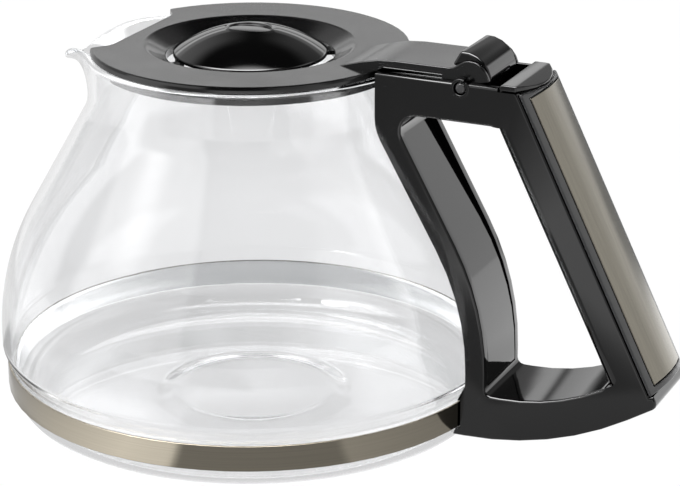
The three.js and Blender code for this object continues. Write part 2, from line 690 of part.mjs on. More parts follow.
// Hinge arm: it ramps up out of the dish, bridges the rim and the hook, and drops into the hinge well.
function armOutline() {
  const rampEnd = NECK_R - ARM_RAMP_END;
  const rampStart = slotR + DISH_T / 2;
  const rampLow = lidTop - DISH_DEPTH + ARM_TOE;
  const bridge = rimZ + 2 * FIT + HOOK_T;
  const inHook = skirtR - SKIRT_T - HOOK_T;
  const inWell = wellFront + FIT;
  const deep = armTop - ARM_DEPTH;
  return rounded([
    corner(rampStart, rampLow - DISH_T),
    corner(rampStart, rampLow),
    corner(rampEnd, armTop, ARM_RAMP_R),
    corner(pin.x, armTop),
    corner(pin.x, deep),
    corner(inWell + HOOK_T, deep),
    corner(inWell, bridge),
    corner(inHook, bridge),
    corner(inHook - HOOK_T, lidUnder),
    corner(DISH_R, lidUnder),
  ]);
}

// Sides of the arm that sweep up from its top and round the hinge axis, with the lever between them.
function leverSides() {
  const onSide = (angle) => new THREE.Vector2(SIDE_R, 0).rotateAround(new THREE.Vector2(), angle).add(pin);
  const crest = onSide(SIDE_CREST_ANGLE);
  const back = onSide(SIDE_BACK_ANGLE);
  const outline = [
    pin,
    new THREE.Vector2(pin.x - SIDE_R, pin.y),
    ...rounded([
      corner(pin.x - SIDE_R, armTop),
      corner(pin.x - SIDE_FOOT, armTop, SIDE_SWEEP_R),
      corner(crest.x, crest.y, SIDE_SWEEP_R),
      corner(back.x, back.y),
    ], false),
    ...sweep(pin, SIDE_BACK_ANGLE, SIDE_END_ANGLE, SIDE_R).slice(1),
  ];
  const room = block(0, 2 * pin.x, -leverW / 2 - FIT, leverW / 2 + FIT, 0, 2 * armTop);
  return solid(sidePrism(outline, armW)).subtract(solid(room));
}

// Cut-out at the spout: a straight edge whose ends sweep out to the rim.
function spoutCut() {
  const rimX = Math.sqrt(lidR ** 2 - SPOUT_HORN ** 2);
  const far = NECK_R + SPOUT_REACH + OVER;
  const outline = rounded([
    corner(-far, -far),
    corner(-rimX - OVER, -SPOUT_HORN),
    corner(-rimX, -SPOUT_HORN),
    corner(-SPOUT_CUT, -SPOUT_CUT_HALF, SPOUT_CUT_R),
    corner(-SPOUT_CUT, SPOUT_CUT_HALF, SPOUT_CUT_R),
    corner(-rimX, SPOUT_HORN),
    corner(-rimX - OVER, SPOUT_HORN),
    corner(-far, far),
  ]);
  return solid(planPrism(outline, rimZ - SPOUT_H, SPOUT_H + lidTop));
}

function lidPlate() {
  const dishLow = lidTop - DISH_DEPTH;
  const profile = rounded([
    corner(slotR, dishLow - DISH_T / 2),
    corner(slotR, dishLow),
    corner(DISH_R, lidTop, DISH_DEPTH),
    corner(lidR, lidTop, LID_EDGE_R),
    corner(lidR, lidUnder),
    corner(DISH_R + DISH_T, lidUnder),
  ]);
  const half = armW / 2;
  const ends = KNUCKLE_R + OVER;
  const arm = solid(sidePrism(armOutline(), armW));
  const knuckle = solid(crossBar(pin, KNUCKLE_R, -half, half));
  const bore = solid(crossBar(pin, PIN_R + PIN_FIT, -half - OVER, half + OVER));
  const hookHalf = HOOK_W / 2 + FIT;
  const hookTop = rimZ + 2 * FIT + HOOK_T;
  const hookRoom = solid(block(skirtR - SKIRT_T - HOOK_T, NECK_R, -hookHalf, hookHalf, 0, hookTop));
  const plate = solid(ring(profile)).subtract(spoutCut()).subtract(hookRoom);
  let lid = plate.add(arm).add(knuckle).add(leverSides()).subtract(bore);
  for (const drop of GROOVE_DROPS) {
    for (const side of [-1, 1]) {
      const y = side * half;
      const z = armTop - drop;
      const line = block(NECK_R, pin.x - ends, y - GROOVE, y + GROOVE, z - GROOVE / 2, z + GROOVE / 2);
      lid = lid.subtract(solid(line));
    }
  }
  return mesh('lid_plate', toGeometry(lid), 0x2c2c2d, 0.45);
}

// Skirt that hangs inside the neck, open at the spout and at the hook of the handle.
function lidSkirt() {
  const top = lidUnder - FIT;
  const low = lidUnder - SKIRT_DROP;
  const profile = [
    new THREE.Vector2(skirtR - SKIRT_T, low),
    new THREE.Vector2(skirtR, low),
    new THREE.Vector2(skirtR, top),
    new THREE.Vector2(flangeR, top),
    new THREE.Vector2(flangeR, top - FLANGE_T),
    new THREE.Vector2(skirtR - SKIRT_T, top - FLANGE_T),
  ];
  const hookHalf = HOOK_W / 2 + FIT;
  const hookRoom = block(skirtR - SKIRT_T - HOOK_T, NECK_R, -hookHalf, hookHalf, 0, lidTop);
  const skirt = solid(ring(profile)).subtract(spoutCut()).subtract(solid(hookRoom));
  return mesh('lid_skirt', toGeometry(skirt), 0x18181a, 0.15);
}

// Shallow dome over the inlet, held by tabs that snap under the edge of the dish.
function dripDome() {
  const top = lidTop + DOME_RISE;
  const edge = lidTop - DISH_DEPTH + DOME_SKIRT;
  const foot = edge - DOME_SKIRT;
  const low = foot - DISH_T / 2 - FIT - DOME_TAB_T;
  const rise = top - edge;
  const curve = (DOME_R ** 2 + rise ** 2) / (2 * rise);
  const centre = new THREE.Vector2(0, top - curve);
  const spread = Math.asin(DOME_R / curve);
  const innerCurve = curve - DOME_T;
  const footSpread = Math.acos((foot - centre.y) / innerCurve);
  const innerSpread = Math.min(Math.asin((DOME_R - DOME_T) / innerCurve), footSpread);
  const profile = [
    ...sweep(centre, Math.PI / 2, Math.PI / 2 - spread, curve),
    new THREE.Vector2(DOME_R, foot),
    new THREE.Vector2(DOME_R - DOME_T, foot),
    ...sweep(centre, Math.PI / 2 - innerSpread, Math.PI / 2, innerCurve),
  ];
  let dome = solid(turned(profile));
  const half = DOME_TAB_W / 2;
  for (let i = 0; i < DOME_TABS; i += 1) {
    const turn = ((i + 0.5) * 2 * Math.PI) / DOME_TABS;
    const leg = block(DOME_R - DOME_T, DOME_R - FIT, -half, half, low, foot + FIT).rotateZ(turn);
    const reach = slotR + DOME_TAB_LAP;
    const toe = block(DOME_R - DOME_T, reach, -half, half, low, low + DOME_TAB_T).rotateZ(turn);
    dome = dome.add(solid(leg)).add(solid(toe));
  }
  const inset = new THREE.CylinderGeometry(1, 1, 2 * INSET_DEPTH, SMALL_ROUND).rotateX(Math.PI / 2);
  inset.scale(INSET_LONG, INSET_SHORT, 1).translate(0, 0, top);
  return mesh('drip_dome', toGeometry(dome.subtract(solid(inset))), 0x202021, 0.3);
}

// Lever over the hinge: a thumb ramp up to the crest, then round and down into the well.
function thumbLever() {
  const seat = armTop + FIT;
  const inner = KNUCKLE_R + FIT;
  const lift = seat - pin.y;
  const startAngle = lift < inner ? Math.PI - Math.asin(lift / inner) : Math.PI / 2;
  const crestX = pin.x + LEVER_CREST_R * Math.cos(LEVER_CREST_ANGLE);
  const outline = [
    new THREE.Vector2(crestX - LEVER_RUN, seat),
    new THREE.Vector2(pin.x + inner * Math.cos(startAngle), seat),
    ...sweep(pin, startAngle, LEVER_END_ANGLE, inner),
    ...sweep(pin, LEVER_END_ANGLE, LEVER_CREST_ANGLE, LEVER_END_R, LEVER_CREST_R),
    new THREE.Vector2(crestX - LEVER_RUN, seat + LEVER_EDGE),
  ];
  return mesh('thumb_lever', weld(sidePrism(outline, leverW)), 0x151516, 0.12);
}

function hingePin() {
  const half = HANDLE_W / 2 + PIN_PROUD;
  return mesh('hinge_pin', weld(crossBar(pin, PIN_R, -half, half)), 0x2a2a2b, 0.3);
}

const jug = new THREE.Group();
jug.add(glassJug(), baseBand(), bandScrew(), bandNut());

const handle = new THREE.Group();
handle.add(handleFrame(), fingerCover(), handleCap(), gripBezel(), gripPlate());

const lid = new THREE.Group();
lid.add(lidPlate(), lidSkirt(), dripDome(), thumbLever(), hingePin());

const carafe = new THREE.Group();
carafe.add(jug, handle, lid);

export default carafe;
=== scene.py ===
"""Looks of a glass coffee carafe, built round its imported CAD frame.

Pieces are sized in millimetres until a mesh is made. The frame and the studio are in metres.
+Z is up, +X points to the handle and the spout points along -X.
"""

import logging
import math
from dataclasses import dataclass
from enum import Enum
from typing import Callable, Optional, Sequence

import bmesh
import bpy
from mathutils import Matrix, Vector


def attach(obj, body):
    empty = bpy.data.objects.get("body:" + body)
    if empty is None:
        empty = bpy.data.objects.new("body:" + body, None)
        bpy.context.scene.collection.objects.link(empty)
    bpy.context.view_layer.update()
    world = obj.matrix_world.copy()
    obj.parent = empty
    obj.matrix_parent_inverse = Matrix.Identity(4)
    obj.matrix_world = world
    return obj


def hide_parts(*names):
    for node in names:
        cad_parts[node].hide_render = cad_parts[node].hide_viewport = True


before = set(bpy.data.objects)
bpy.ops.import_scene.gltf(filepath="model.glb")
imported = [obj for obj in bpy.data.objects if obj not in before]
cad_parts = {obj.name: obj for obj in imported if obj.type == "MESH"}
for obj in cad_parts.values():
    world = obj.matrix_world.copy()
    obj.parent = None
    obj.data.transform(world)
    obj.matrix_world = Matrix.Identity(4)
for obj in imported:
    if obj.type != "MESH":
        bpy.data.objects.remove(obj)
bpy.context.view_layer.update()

MM = 0.001
WHITE = (1.0, 1.0, 1.0, 1.0)
SEAM_MERGE = 1e-4

# Range that most values of a noise lie in
NOISE_LOW = 0.3
NOISE_HIGH = 0.7

# Colour sockets of a mix node, which has several of each name
MIX_FIRST = 6
MIX_SECOND = 7
MIX_RESULT = 2

Socket = bpy.types.NodeSocket
Mesh = bmesh.types.BMesh
EdgeTest = Callable[[bmesh.types.BMEdge], bool]
Color = tuple[float, float, float]
Span = tuple[float, float]
Stops = tuple[tuple[float, float], ...]

log = logging.getLogger("carafe")


class Body(Enum):
    """Bodies of the frame that pieces ride on."""

    JUG = "jug"
    LID = "lid"


class Slot(Enum):
    """Material slots of the record."""

    CLEAR_GLASS = "clear_glass"
    CHAMPAGNE_BAND = "champagne_band"
    CHAMPAGNE_PLATE = "champagne_plate"
    ZINC_FASTENER = "zinc_fastener"
    BLACK_GLOSS = "black_gloss"
    BLACK_SATIN = "black_satin"
    DARK_GREY = "dark_grey"


class Grain(Enum):
    """Direction in which a metal is brushed, as cells of noise for each metre along X, Y and Z."""

    ROUND_THE_FOOT = (14.0, 14.0, 2600.0)
    DOWN_THE_GRIP = (45.0, 2600.0, 45.0)
    NONE = (300.0, 300.0, 300.0)


class NodeGraph:
    """Node tree of a material or of the surroundings."""

    def __init__(self, owner: bpy.types.ID, output: str = "ShaderNodeOutputMaterial") -> None:
        """Starts an empty tree with an output.

        Args:
            owner: Material or world that the tree belongs to.
            output: Type of its output node.
        """
        owner.use_nodes = True
        self.owner = owner
        self.tree = owner.node_tree
        self.tree.nodes.clear()
        self.output = self.add(output)

    def add(self, kind: str, values: Optional[dict] = None, **settings) -> bpy.types.Node:
        """Adds a node.

        Args:
            kind: Type of the node.
            values: Socket values by the name of the input.
            **settings: Properties of the node itself.

        Returns:
            The new node.
        """
        node = self.tree.nodes.new(kind)
        for name, value in settings.items():
            setattr(node, name, value)
        for name, value in (values or {}).items():
            node.inputs[name].default_value = value
        return node

    def join(self, source: Socket, target: Socket) -> None:
        """Links one socket to another."""
        self.tree.links.new(source, target)

    def show(self, surface: Socket) -> None:
        """Sends a shader to the output."""
        self.join(surface, self.output.inputs["Surface"])

    def math(self, operation: str, first: Socket | float, second: Socket | float = 0.0) -> Socket:
        """One step of arithmetic.

        Args:
            operation: Operation of the math node.
            first: Socket or number.
            second: Socket or number.

        Returns:
            The result.
        """
        node = self.add("ShaderNodeMath", operation=operation)
        for socket, item in zip(node.inputs, (first, second)):
            if isinstance(item, float):
                socket.default_value = item
            else:
                self.join(item, socket)
        return node.outputs["Value"]

    def step(self, value: Socket, low: float, high: float) -> Socket:
        """Smooth rise from 0 to 1 between two values.

        Args:
            value: Value that is tested.
            low: Value where the rise starts.
            high: Value where it ends.

        Returns:
            The result.
        """
        limits = {"From Min": low, "From Max": high}
        node = self.add("ShaderNodeMapRange", limits, interpolation_type="SMOOTHSTEP")
        self.join(value, node.inputs["Value"])
        return node.outputs["Result"]

    def past(self, depth: str, bounces: float = 0.5) -> Socket:
        """1 for rays that have bounced more often than a count, by a depth of the light path."""
        path = self.add("ShaderNodeLightPath")
        return self.math("GREATER_THAN", path.outputs[depth], bounces)

    def along(self, direction: Socket, angle: float) -> Socket:
        """Share of a direction that points along a compass angle.

        Args:
            direction: Direction that is measured.
            angle: Compass angle in radians.

        Returns:
            The share.
        """
        node = self.add("ShaderNodeVectorMath", operation="DOT_PRODUCT")
        self.join(direction, node.inputs[0])
        node.inputs[1].default_value = (math.cos(angle), math.sin(angle), 0.0)
        return node.outputs["Value"]

    def blend(self, share: Socket, first: Socket | tuple[float, ...], second: Socket) -> Socket:
        """Mixes two colours.

        Args:
            share: Share of the second colour.
            first: First colour, as a socket or as numbers.
            second: Second colour.

        Returns:
            The colour output.
        """
        node = self.add("ShaderNodeMix", data_type="RGBA")
        self.join(share, node.inputs["Factor"])
        if isinstance(first, tuple):
            node.inputs[MIX_FIRST].default_value = first
        else:
            self.join(first, node.inputs[MIX_FIRST])
        self.join(second, node.inputs[MIX_SECOND])
        return node.outputs[MIX_RESULT]

    def choose(self, share: Socket, first: Socket, second: Socket) -> Socket:
        """Mixes two shaders.

        Args:
            share: Share of the second shader.
            first: First shader.
            second: Second shader.

        Returns:
            The shader output.
        """
        node = self.add("ShaderNodeMixShader")
        for source, target in zip((share, first, second), node.inputs):
            self.join(source, target)
        return node.outputs["Shader"]

    def ramp(self, value: Socket, stops: Sequence[tuple[float, Color]]) -> Socket:
        """Colours along a value.

        Args:
            value: Place on the ramp, from 0 to 1.
            stops: Places and colours.

        Returns:
            The colour output.
        """
        node = self.add("ShaderNodeValToRGB")
        elements = node.color_ramp.elements
        while len(elements) < len(stops):
            elements.new(1.0)
        for element, (place, color) in zip(elements, stops):
            element.position = place
            element.color = (*color, 1.0)
        self.join(value, node.inputs["Fac"])
        return node.outputs["Color"]

    def greys(self, value: Socket, stops: Sequence[tuple[float, float]]) -> Socket:
        """Grey levels along a value."""
        return self.ramp(value, [(place, (level,) * 3) for place, level in stops])

    def compass(self, turn: Socket, stops: Stops, scale: float = 1.0) -> Socket:
        """Grey levels by compass angles in degrees, where the scale is the level of white."""
        places = [((angle + 180.0) / 360.0, level / scale) for angle, level in stops]
        return self.greys(turn, places)

    def polar(self) -> tuple[Socket, Socket]:
        """Place on the floor.

        Returns:
            The turn about Z, from 0 to 1, and the distance from the axis in metres.
        """
        split = self.add("ShaderNodeSeparateXYZ")
        self.join(self.add("ShaderNodeTexCoord").outputs["Object"], split.inputs["Vector"])
        x, y = split.outputs["X"], split.outputs["Y"]
        bearing = self.math("ADD", self.math("ARCTAN2", y, x), math.pi)
        squares = [self.math("MULTIPLY", side, side) for side in (x, y)]
        radius = self.math("SQRT", self.math("ADD", *squares))
        return self.math("DIVIDE", bearing, math.tau), radius

    def tones(self, value: Socket, dark: Color, light: Color) -> Socket:
        """Colour between two tones, by the value of a noise."""
        return self.ramp(value, ((NOISE_LOW, dark), (NOISE_HIGH, light)))

    def spread(self, value: Socket, low: float, high: float) -> Socket:
        """Maps the middle of a noise to a range.

        Args:
            value: Output of the noise.
            low: Result for a low value.
            high: Result for a high value.

        Returns:
            The mapped value.
        """
        limits = {"From Min": NOISE_LOW, "From Max": NOISE_HIGH, "To Min": low, "To Max": high}
        node = self.add("ShaderNodeMapRange", limits)
        self.join(value, node.inputs["Value"])
        return node.outputs["Result"]

    def noise(self, scale: Sequence[float], detail: float, rough: float = 0.55) -> Socket:
        """Noise on Object coordinates.

        Args:
            scale: Cells for each metre along X, Y and Z.
            detail: Octaves of the noise.
            rough: Strength of the finer octaves.

        Returns:
            The value output.
        """
        source = self.add("ShaderNodeTexCoord")
        mapping = self.add("ShaderNodeMapping", {"Scale": scale})
        self.join(source.outputs["Object"], mapping.inputs["Vector"])
        values = {"Scale": 1.0, "Detail": detail, "Roughness": rough}
        node = self.add("ShaderNodeTexNoise", values)
        self.join(mapping.outputs["Vector"], node.inputs["Vector"])
        return node.outputs["Fac"]

    def bump(self, height: Socket, depth: float, under: Optional[Socket] = None) -> Socket:
        """Bump from a height.

        Args:
            height: Height from 0 to 1.
            depth: Depth of the relief in millimetres.
            under: Normal of another relief that this one lies on.

        Returns:
            The normal output.
        """
        node = self.add("ShaderNodeBump", {"Strength": 1.0, "Distance": depth * MM})
        self.join(height, node.inputs["Height"])
        if under is not None:
            self.join(under, node.inputs["Normal"])
        return node.outputs["Normal"]


def tinted(color: Color, factor: float) -> Color:
    """Colour made lighter or darker by a factor."""
    return tuple(min(1.0, channel * factor) for channel in color)


@dataclass(frozen=True)
class PlasticFinish:
    """Moulded plastic with the relief of its tool.

    The relief has a fine grain and a slow waviness, and tone and sheen vary a little over the
    surface. Grain and depths are in millimetres, and scales are cells for each metre.
    """

    name: str
    color: Color
    roughness: float
    grain: float
    grain_depth: float
    wave_depth: float = 0.01
    specular: float = 0.5
    coat: float = 0.0
    cloud_scale: float = 45.0
    wave_scale: float = 110.0
    tone_range: Span = (0.82, 1.2)
    sheen_range: Span = (0.85, 1.18)

    def material(self) -> bpy.types.Material:
        """Builds the material.

        Returns:
            The material.
        """
        graph = NodeGraph(bpy.data.materials.new(self.name))
        values = {"Specular IOR Level": self.specular, "Coat Weight": self.coat}
        shader = graph.add("ShaderNodeBsdfPrincipled", values)
        cloud = graph.noise((self.cloud_scale,) * 3, detail=4.0)
        fine = graph.noise((1.0 / MM / self.grain,) * 3, detail=2.0)
        wave = graph.noise((self.wave_scale,) * 3, detail=1.0)
        dark, light = (tinted(self.color, factor) for factor in self.tone_range)
        graph.join(graph.tones(cloud, dark, light), shader.inputs["Base Color"])
        sleek, dull = (self.roughness * factor for factor in self.sheen_range)
        graph.join(graph.spread(cloud, sleek, dull), shader.inputs["Roughness"])
        relief = graph.bump(fine, self.grain_depth, graph.bump(wave, self.wave_depth))
        graph.join(relief, shader.inputs["Normal"])
        graph.show(shader.outputs["BSDF"])
        return graph.owner


@dataclass(frozen=True)
class MetalFinish:
    """Sheet metal with fine brushed lines.

    The depth of the lines is in millimetres, and the scale is in cells for each metre.
    """

    name: str
    color: Color
    roughness: float
    grain: Grain
    line_depth: float
    line_tone: float
    line_rough: float = 0.6
    cloud_scale: float = 30.0
    sheen_range: Span = (0.88, 1.12)

    def material(self) -> bpy.types.Material:
        """Builds the material.

        Returns:
            The material.
        """
        graph = NodeGraph(bpy.data.materials.new(self.name))
        shader = graph.add("ShaderNodeBsdfPrincipled", {"Metallic": 1.0})
        lines = graph.noise(self.grain.value, detail=4.0, rough=self.line_rough)
        cloud = graph.noise((self.cloud_scale,) * 3, detail=3.0)
        dark = tinted(self.color, 1.0 - self.line_tone)
        light = tinted(self.color, 1.0 + self.line_tone)
        graph.join(graph.tones(lines, dark, light), shader.inputs["Base Color"])
        sleek, dull = (self.roughness * factor for factor in self.sheen_range)
        graph.join(graph.spread(cloud, sleek, dull), shader.inputs["Roughness"])
        graph.join(graph.bump(lines, self.line_depth), shader.inputs["Normal"])
        graph.show(shader.outputs["BSDF"])
        return graph.owner


@dataclass(frozen=True)
class GlassFinish:
    """Clear blown glass with the slight waves of the mould, which lets lamps through.

    Light that has been thrown to and fro inside the wall for long is let out straight.
    """

    name: str
    color: Color
    ior: float
    wave_depth: float
    wave_scale: tuple[float, float, float] = (26.0, 26.0, 17.0)
    straight_color: Color = (0.9, 0.905, 0.91)
    let_out: float = 5.5

    def material(self) -> bpy.types.Material:
        """Builds the material.

        Returns:
            The material.
        """
        graph = NodeGraph(bpy.data.materials.new(self.name))
        values = {
            "Base Color": (*self.color, 1.0),
            "Roughness": 0.0,
            "IOR": self.ior,
            "Transmission Weight": 1.0,
        }
        shader = graph.add("ShaderNodeBsdfPrincipled", values)
        wave = graph.noise(self.wave_scale, detail=1.0)
        graph.join(graph.bump(wave, self.wave_depth), shader.inputs["Normal"])
        clear = graph.add("ShaderNodeBsdfTransparent", {"Color": (*self.straight_color, 1.0)})
        shadow = graph.add("ShaderNodeLightPath").outputs["Is Shadow Ray"]
        straight = graph.math("MAXIMUM", shadow, graph.past("Ray Depth", self.let_out))
        graph.show(graph.choose(straight, shader.outputs["BSDF"], clear.outputs["BSDF"]))
        return graph.owner


class Finishes:
    """Materials of the object: one for each slot of the record, and two for special faces."""

    def __init__(self) -> None:
        """Builds every material once."""
        black = (0.003, 0.003, 0.0032)
        recipes = {
            Slot.CLEAR_GLASS: GlassFinish(
                "clear_glass", (0.912, 0.914, 0.92), ior=1.47, wave_depth=0.05
            ),
            Slot.CHAMPAGNE_BAND: MetalFinish(
                "champagne_band", (0.3, 0.272, 0.22), roughness=0.09,
                grain=Grain.ROUND_THE_FOOT, line_depth=0.004, line_tone=0.06,
            ),
            Slot.CHAMPAGNE_PLATE: MetalFinish(
                "champagne_plate", (0.168, 0.156, 0.129), roughness=0.22,
                grain=Grain.DOWN_THE_GRIP, line_depth=0.012, line_tone=0.1,
            ),
            Slot.ZINC_FASTENER: MetalFinish(
                "zinc_fastener", (0.55, 0.55, 0.54), roughness=0.35,
                grain=Grain.NONE, line_depth=0.01, line_tone=0.08,
            ),
            Slot.BLACK_GLOSS: PlasticFinish(
                "black_gloss", black, roughness=0.06,
                grain=0.5, grain_depth=0.0006, wave_depth=0.006,
            ),
            Slot.BLACK_SATIN: PlasticFinish(
                "black_satin", (0.004, 0.004, 0.0042), roughness=0.15,
                grain=0.22, grain_depth=0.003, wave_depth=0.006,
            ),
            Slot.DARK_GREY: PlasticFinish(
                "dark_grey", (0.042, 0.042, 0.043), roughness=0.34, grain=0.22, grain_depth=0.006
            ),
        }
        self.by_slot = {slot: recipe.material() for slot, recipe in recipes.items()}
        self.polished = PlasticFinish(
            "polished_black", black, roughness=0.04,
            grain=0.5, grain_depth=0.0004, wave_depth=0.004, specular=1.0, coat=1.0,
        ).material()
        self.bare_inside = MetalFinish(
            "bare_inside", (0.8, 0.8, 0.79), roughness=0.2,
            grain=Grain.ROUND_THE_FOOT, line_depth=0.004, line_tone=0.04,
        ).material()

    def dress(self, piece: bpy.types.Object, slot: Slot) -> None:
        """Gives a piece the finish of a slot.

        Args:
            piece: Piece to dress.
            slot: Slot of the record.
        """
        piece.data.materials.clear()
        piece.data.materials.append(self.by_slot[slot])


@dataclass(frozen=True)
class Corner:
    """Corner of an outline, with the radius that rounds it."""

    x: float
    y: float
    radius: float = 0.0


def arc_points(
    before: Vector, point: Vector, after: Vector, length: float, facet: float
) -> list[Vector]:
    """Points of the arc that rounds a corner.

    Args:
        before: Point ahead of the corner.
        point: The corner.
        after: Point past the corner.
        length: Distance from the corner to where the arc starts.
        facet: Largest turn of one facet, in degrees.

    Returns:
        The points of the arc.
    """
    inward = (point - before).normalized()
    outward = (after - point).normalized()
    turn = inward.angle_signed(outward) * -1.0
    radius = length / math.tan(abs(turn) / 2.0)
    start = point - inward * length
    side = Vector((-inward.y, inward.x)) * math.copysign(1.0, turn)
    centre = start + side * radius
    steps = max(2, math.ceil(math.degrees(abs(turn)) / facet))
    arm = start - centre
    turns = [Matrix.Rotation(turn * i / steps, 2) for i in range(steps + 1)]
    return [centre + matrix @ arm for matrix in turns]


def rounded(corners: Sequence[Corner], closed: bool = True, facet: float = 4.0) -> list[Vector]:
    """Points of an outline whose corners are rounded.

    Args:
        corners: Corners in order.
        closed: Whether the last corner joins the first.
        facet: Largest turn of one facet of an arc, in degrees.

    Returns:
        The points of the outline.
    """
    places = [Vector((c.x, c.y)) for c in corners]
    count = len(places)
    points: list[Vector] = []
    for i, spot in enumerate(corners):
        inside = closed or 0 < i < count - 1
        if not inside or spot.radius == 0.0:
            points.append(places[i])
            continue
        before, after = places[i - 1], places[(i + 1) % count]
        turn = (places[i] - before).angle(after - places[i])
        length = spot.radius * math.tan(turn / 2.0)
        points.extend(arc_points(before, places[i], after, length, facet))
    return points


def guarded(points: Sequence[Vector], gap: float, long_side: float = 4.0) -> list[Vector]:
    """Outline whose long sides get a point close to each end, and so stay flat when shaded.

    Args:
        points: Points of the outline.
        gap: Distance of the new points from the ends.
        long_side: Length of a long side, in gaps.

    Returns:
        The points of the new outline.
    """
    kept = [points[0]]
    for before, after in zip(points, points[1:]):
        side = after - before
        if side.length > long_side * gap:
            step = side.normalized() * gap
            kept.extend([before + step, after - step])
        kept.append(after)
    return kept


def spun(profile: Sequence[Vector], steps: int, ring: bool) -> Mesh:
    """Solid of revolution about Z.

    Args:
        profile: Points of radius and height.
        steps: Facets round the axis.
        ring: Whether the profile closes on itself. If not, it starts and ends on the axis.

    Returns:
        The mesh, with merged seams and normals that point outwards.
    """
    bm = bmesh.new()
    verts = [bm.verts.new((p.x, 0.0, p.y)) for p in profile]
    edges = [bm.edges.new(pair) for pair in zip(verts, verts[1:])]
    if ring:
        edges.append(bm.edges.new((verts[-1], verts[0])))
    bmesh.ops.spin(
        bm, geom=verts + edges, cent=(0.0, 0.0, 0.0), axis=(0.0, 0.0, 1.0),
        angle=math.tau, steps=steps, use_merge=True,
    )
    bmesh.ops.remove_doubles(bm, verts=bm.verts[:], dist=SEAM_MERGE)
    bmesh.ops.recalc_face_normals(bm, faces=bm.faces[:])
    return bm


def soften(bm: Mesh, sharp: float) -> None:
    """Shades a mesh smooth, apart from edges that turn by more than an angle.

    Args:
        bm: Mesh to shade.
        sharp: Angle in degrees above which an edge stays sharp.
    """
    limit = math.radians(sharp)
    for face in bm.faces:
        face.smooth = True
    for edge in bm.edges:
        edge.smooth = len(edge.link_faces) == 2 and edge.calc_face_angle(0.0) < limit


@dataclass(frozen=True)
class Rounding:
    """Width of rounded edges in millimetres, and least turns in degrees to round or shade sharp."""

    width: float
    turn: float = 40.0
    sharp: float = 35.0


@dataclass
class Workshop:
    """Turns meshes into pieces that ride on the frame."""

    finishes: Finishes
    cad_merge: float = 2e-3
    flat_turn: float = 0.6
    edge_segments: int = 3
    flat_weight: int = 80

    def piece(
        self, name: str, bm: Mesh, body: Body, slot: Slot, nodes: Sequence[str] = ()
    ) -> bpy.types.Object:
        """Makes an object of a mesh in millimetres.

        Args:
            name: Name of the piece.
            bm: Mesh in millimetres, which is freed.
            body: Body that the piece rides on.
            slot: Slot that the piece takes its finish from.
            nodes: CAD nodes that the piece stands for.

        Returns:
            The new object.
        """
        bmesh.ops.scale(bm, vec=(MM, MM, MM), verts=bm.verts[:])
        data = bpy.data.meshes.new(name)
        bm.to_mesh(data)
        bm.free()
        made = bpy.data.objects.new(name, data)
        bpy.context.scene.collection.objects.link(made)
        self.finishes.dress(made, slot)
        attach(made, body.value)
        if nodes:
            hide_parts(*nodes)
        log.info("%s: %d faces, on %s", name, len(data.polygons), body.value)
        return made

    def copy_of(self, node: str) -> Mesh:
        """Merged copy of a CAD node, in millimetres.

        Args:
            node: Name of the node.

        Returns:
            The copy, with flat areas joined into single faces.
        """
        bm = bmesh.new()
        bm.from_mesh(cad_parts[node].data)
        bmesh.ops.scale(bm, vec=(1.0 / MM,) * 3, verts=bm.verts[:])
        bmesh.ops.remove_doubles(bm, verts=bm.verts[:], dist=self.cad_merge)
        limit = math.radians(self.flat_turn)
        bmesh.ops.dissolve_limit(bm, angle_limit=limit, verts=bm.verts[:], edges=bm.edges[:])
        return bm

    def ease(self, bm: Mesh, rounding: Rounding, where: Optional[EdgeTest]) -> None:
        """Rounds the outer edges of a mesh.

        Args:
            bm: Mesh to round.
            rounding: Width of the rounding, and least turn of an edge that gets it.
            where: Test that an edge has to pass.
        """
        limit = math.radians(rounding.turn)
        edges = [
            edge
            for edge in bm.edges
            if len(edge.link_faces) == 2
            and edge.calc_face_angle_signed(0.0) > limit
            and (where is None or where(edge))
        ]
        bmesh.ops.bevel(
            bm, geom=edges, offset=rounding.width, offset_type="OFFSET", affect="EDGES",
            segments=self.edge_segments, profile=0.5, material=-1, clamp_overlap=False,
        )

    def refined(
        self, node: str, name: str, body: Body, slot: Slot, rounding: Rounding,
        where: Optional[EdgeTest] = None,
    ) -> bpy.types.Object:
        """Makes a piece of a CAD node, with rounded edges and large faces that stay flat.

        Args:
            node: Name of the CAD node.
            name: Name of the piece.
            body: Body that the piece rides on.
            slot: Slot that the piece takes its finish from.
            rounding: How its edges are rounded and shaded.
            where: Test that an edge has to pass to be rounded.

        Returns:
            The new object.
        """
        bm = self.copy_of(node)
        self.ease(bm, rounding, where)
        soften(bm, rounding.sharp)
        made = self.piece(name, bm, body, slot, [node])
        modifier = made.modifiers.new("flat_faces", "WEIGHTED_NORMAL")
        modifier.keep_sharp = True
        modifier.weight = self.flat_weight
        return made


